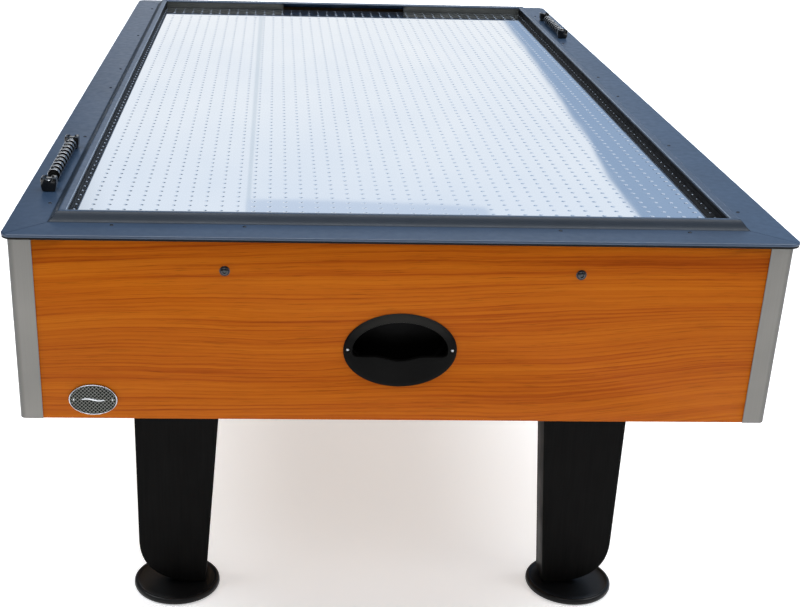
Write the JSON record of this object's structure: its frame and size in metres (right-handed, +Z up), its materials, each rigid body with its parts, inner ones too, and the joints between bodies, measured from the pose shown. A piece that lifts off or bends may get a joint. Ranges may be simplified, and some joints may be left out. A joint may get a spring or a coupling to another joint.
{
  "type": "air hockey table",
  "caption": "Air hockey table with a perforated air-fed surface, mitred rails, wood-grain cabinet, oval puck cups, abacus scorers and flat tapered legs on round levelling feet.",
  "frame": {"origin": "on the floor under the centre of the table", "axes": "+X across the table to the right, +Y along it away from the end with the badge, +Z up"},
  "size_m": [1.196, 2.18, 0.808],
  "materials": {
    "playing_laminate": "high-gloss white laminate with a pale blue cast",
    "rail_grey": "satin slate grey",
    "cherry_laminate": "satin cherry wood-grain laminate",
    "corner_silver": "matt silver grey",
    "raw_board": "raw fibreboard",
    "plain_wood": "planed softwood",
    "leg_black": "satin black laminate",
    "foot_black": "satin black moulded plastic",
    "fan_plastic": "fine moulded texture",
    "motor_steel": "plated steel",
    "chute_plastic": "plain moulded",
    "cup_black": "semi-gloss moulded",
    "scorer_black": "gloss black",
    "bead_black": "polished black",
    "badge_pewter": "dark pewter face with a bright rim"
  },
  "bodies": {
    "table": {"playfield": "playing_laminate", "left_rail": "rail_grey", "right_rail": "rail_grey", "near_rail": "rail_grey", "far_rail": "rail_grey", "left_side_board": "cherry_laminate", "right_side_board": "cherry_laminate", "near_end_board": "cherry_laminate", "far_end_board": "cherry_laminate", "bottom_panel": "raw_board", "near_leg_beam": "plain_wood", "far_leg_beam": "plain_wood", "air_chamber": "plain_wood", "near_left_corner_trim": "corner_silver", "near_left_leg": "leg_black", "near_right_corner_trim": "corner_silver", "near_right_leg": "leg_black", "far_left_corner_trim": "corner_silver", "far_left_leg": "leg_black", "far_right_corner_trim": "corner_silver", "far_right_leg": "leg_black", "fan_housing": "fan_plastic", "fan_motor": "motor_steel", "intake_grille": "fan_plastic", "near_goal_chute": "chute_plastic", "near_return_cup": "cup_black", "far_goal_chute": "chute_plastic", "far_return_cup": "cup_black", "left_scorer_frame": "scorer_black", "right_scorer_frame": "scorer_black", "mains_inlet": "cup_black", "switch_housing": "cup_black", "badge": "badge_pewter"},
    "fan_impeller": {"fan_impeller": "fan_plastic"},
    "switch_rocker": {"switch_rocker": "scorer_black"},
    "near_left_foot": {"near_left_foot": "foot_black"},
    "near_right_foot": {"near_right_foot": "foot_black"},
    "far_left_foot": {"far_left_foot": "foot_black"},
    "far_right_foot": {"far_right_foot": "foot_black"},
    "left_bead_1": {"left_bead_1": "bead_black"},
    "left_bead_2": {"left_bead_2": "bead_black"},
    "left_bead_3": {"left_bead_3": "bead_black"},
    "left_bead_4": {"left_bead_4": "bead_black"},
    "left_bead_5": {"left_bead_5": "bead_black"},
    "left_bead_6": {"left_bead_6": "bead_black"},
    "left_bead_7": {"left_bead_7": "bead_black"},
    "left_bead_8": {"left_bead_8": "bead_black"},
    "left_bead_9": {"left_bead_9": "bead_black"},
    "left_bead_10": {"left_bead_10": "bead_black"},
    "right_bead_1": {"right_bead_1": "bead_black"},
    "right_bead_2": {"right_bead_2": "bead_black"},
    "right_bead_3": {"right_bead_3": "bead_black"},
    "right_bead_4": {"right_bead_4": "bead_black"},
    "right_bead_5": {"right_bead_5": "bead_black"},
    "right_bead_6": {"right_bead_6": "bead_black"},
    "right_bead_7": {"right_bead_7": "bead_black"},
    "right_bead_8": {"right_bead_8": "bead_black"},
    "right_bead_9": {"right_bead_9": "bead_black"},
    "right_bead_10": {"right_bead_10": "bead_black"}
  },
  "joints": [
    {"name": "fan_spin", "type": "hinge", "parent": "table", "child": "fan_impeller", "pos_m": [0, 0, 0.68], "axis": [0, 0, 1], "continuous": true},
    {"name": "switch_press", "type": "hinge", "parent": "table", "child": "switch_rocker", "pos_m": [0.588, 0.66, 0.54], "axis": [0, 1, 0], "range_deg": [-16, 0]},
    {"name": "near_left_levelling", "type": "slide", "parent": "table", "child": "near_left_foot", "axis": [0, 0, -1], "range_m": [0, 0.02]},
    {"name": "near_right_levelling", "type": "slide", "parent": "table", "child": "near_right_foot", "axis": [0, 0, -1], "range_m": [0, 0.02]},
    {"name": "far_left_levelling", "type": "slide", "parent": "table", "child": "far_left_foot", "axis": [0, 0, -1], "range_m": [0, 0.02]},
    {"name": "far_right_levelling", "type": "slide", "parent": "table", "child": "far_right_foot", "axis": [0, 0, -1], "range_m": [0, 0.02]},
    {"name": "left_bead_10_slide", "type": "slide", "parent": "table", "child": "left_bead_10", "axis": [0, -1, 0], "range_m": [0, 0.0305]},
    {"name": "left_bead_9_slide", "type": "slide", "parent": "table", "child": "left_bead_9", "axis": [0, -1, 0], "range_m": [0, 0.0305]},
    {"name": "left_bead_8_slide", "type": "slide", "parent": "table", "child": "left_bead_8", "axis": [0, -1, 0], "range_m": [0, 0.0305]},
    {"name": "left_bead_7_slide", "type": "slide", "parent": "table", "child": "left_bead_7", "axis": [0, -1, 0], "range_m": [0, 0.0305]},
    {"name": "left_bead_6_slide", "type": "slide", "parent": "table", "child": "left_bead_6", "axis": [0, -1, 0], "range_m": [0, 0.0305]},
    {"name": "left_bead_5_slide", "type": "slide", "parent": "table", "child": "left_bead_5", "axis": [0, -1, 0], "range_m": [0, 0.0305]},
    {"name": "left_bead_4_slide", "type": "slide", "parent": "table", "child": "left_bead_4", "axis": [0, -1, 0], "range_m": [0, 0.0305]},
    {"name": "left_bead_3_slide", "type": "slide", "parent": "table", "child": "left_bead_3", "axis": [0, -1, 0], "range_m": [0, 0.0305]},
    {"name": "left_bead_2_slide", "type": "slide", "parent": "table", "child": "left_bead_2", "axis": [0, -1, 0], "range_m": [0, 0.0305]},
    {"name": "left_bead_1_slide", "type": "slide", "parent": "table", "child": "left_bead_1", "axis": [0, -1, 0], "range_m": [0, 0.0305]},
    {"name": "right_bead_10_slide", "type": "slide", "parent": "table", "child": "right_bead_10", "axis": [0, 1, 0], "range_m": [0, 0.0305]},
    {"name": "right_bead_9_slide", "type": "slide", "parent": "table", "child": "right_bead_9", "axis": [0, 1, 0], "range_m": [0, 0.0305]},
    {"name": "right_bead_8_slide", "type": "slide", "parent": "table", "child": "right_bead_8", "axis": [0, 1, 0], "range_m": [0, 0.0305]},
    {"name": "right_bead_7_slide", "type": "slide", "parent": "table", "child": "right_bead_7", "axis": [0, 1, 0], "range_m": [0, 0.0305]},
    {"name": "right_bead_6_slide", "type": "slide", "parent": "table", "child": "right_bead_6", "axis": [0, 1, 0], "range_m": [0, 0.0305]},
    {"name": "right_bead_5_slide", "type": "slide", "parent": "table", "child": "right_bead_5", "axis": [0, 1, 0], "range_m": [0, 0.0305]},
    {"name": "right_bead_4_slide", "type": "slide", "parent": "table", "child": "right_bead_4", "axis": [0, 1, 0], "range_m": [0, 0.0305]},
    {"name": "right_bead_3_slide", "type": "slide", "parent": "table", "child": "right_bead_3", "axis": [0, 1, 0], "range_m": [0, 0.0305]},
    {"name": "right_bead_2_slide", "type": "slide", "parent": "table", "child": "right_bead_2", "axis": [0, 1, 0], "range_m": [0, 0.0305]},
    {"name": "right_bead_1_slide", "type": "slide", "parent": "table", "child": "right_bead_1", "axis": [0, 1, 0], "range_m": [0, 0.0305]}
  ],
  "couplings": [
    {"joint": "left_bead_9_slide", "follows": "left_bead_10_slide", "ratio": 1},
    {"joint": "left_bead_8_slide", "follows": "left_bead_10_slide", "ratio": 1},
    {"joint": "left_bead_7_slide", "follows": "left_bead_10_slide", "ratio": 1},
    {"joint": "left_bead_6_slide", "follows": "left_bead_10_slide", "ratio": 1},
    {"joint": "left_bead_5_slide", "follows": "left_bead_10_slide", "ratio": 1},
    {"joint": "left_bead_4_slide", "follows": "left_bead_10_slide", "ratio": 1},
    {"joint": "left_bead_3_slide", "follows": "left_bead_10_slide", "ratio": 1},
    {"joint": "left_bead_2_slide", "follows": "left_bead_10_slide", "ratio": 1},
    {"joint": "left_bead_1_slide", "follows": "left_bead_10_slide", "ratio": 1},
    {"joint": "right_bead_9_slide", "follows": "right_bead_10_slide", "ratio": 1},
    {"joint": "right_bead_8_slide", "follows": "right_bead_10_slide", "ratio": 1},
    {"joint": "right_bead_7_slide", "follows": "right_bead_10_slide", "ratio": 1},
    {"joint": "right_bead_6_slide", "follows": "right_bead_10_slide", "ratio": 1},
    {"joint": "right_bead_5_slide", "follows": "right_bead_10_slide", "ratio": 1},
    {"joint": "right_bead_4_slide", "follows": "right_bead_10_slide", "ratio": 1},
    {"joint": "right_bead_3_slide", "follows": "right_bead_10_slide", "ratio": 1},
    {"joint": "right_bead_2_slide", "follows": "right_bead_10_slide", "ratio": 1},
    {"joint": "right_bead_1_slide", "follows": "right_bead_10_slide", "ratio": 1}
  ]
}
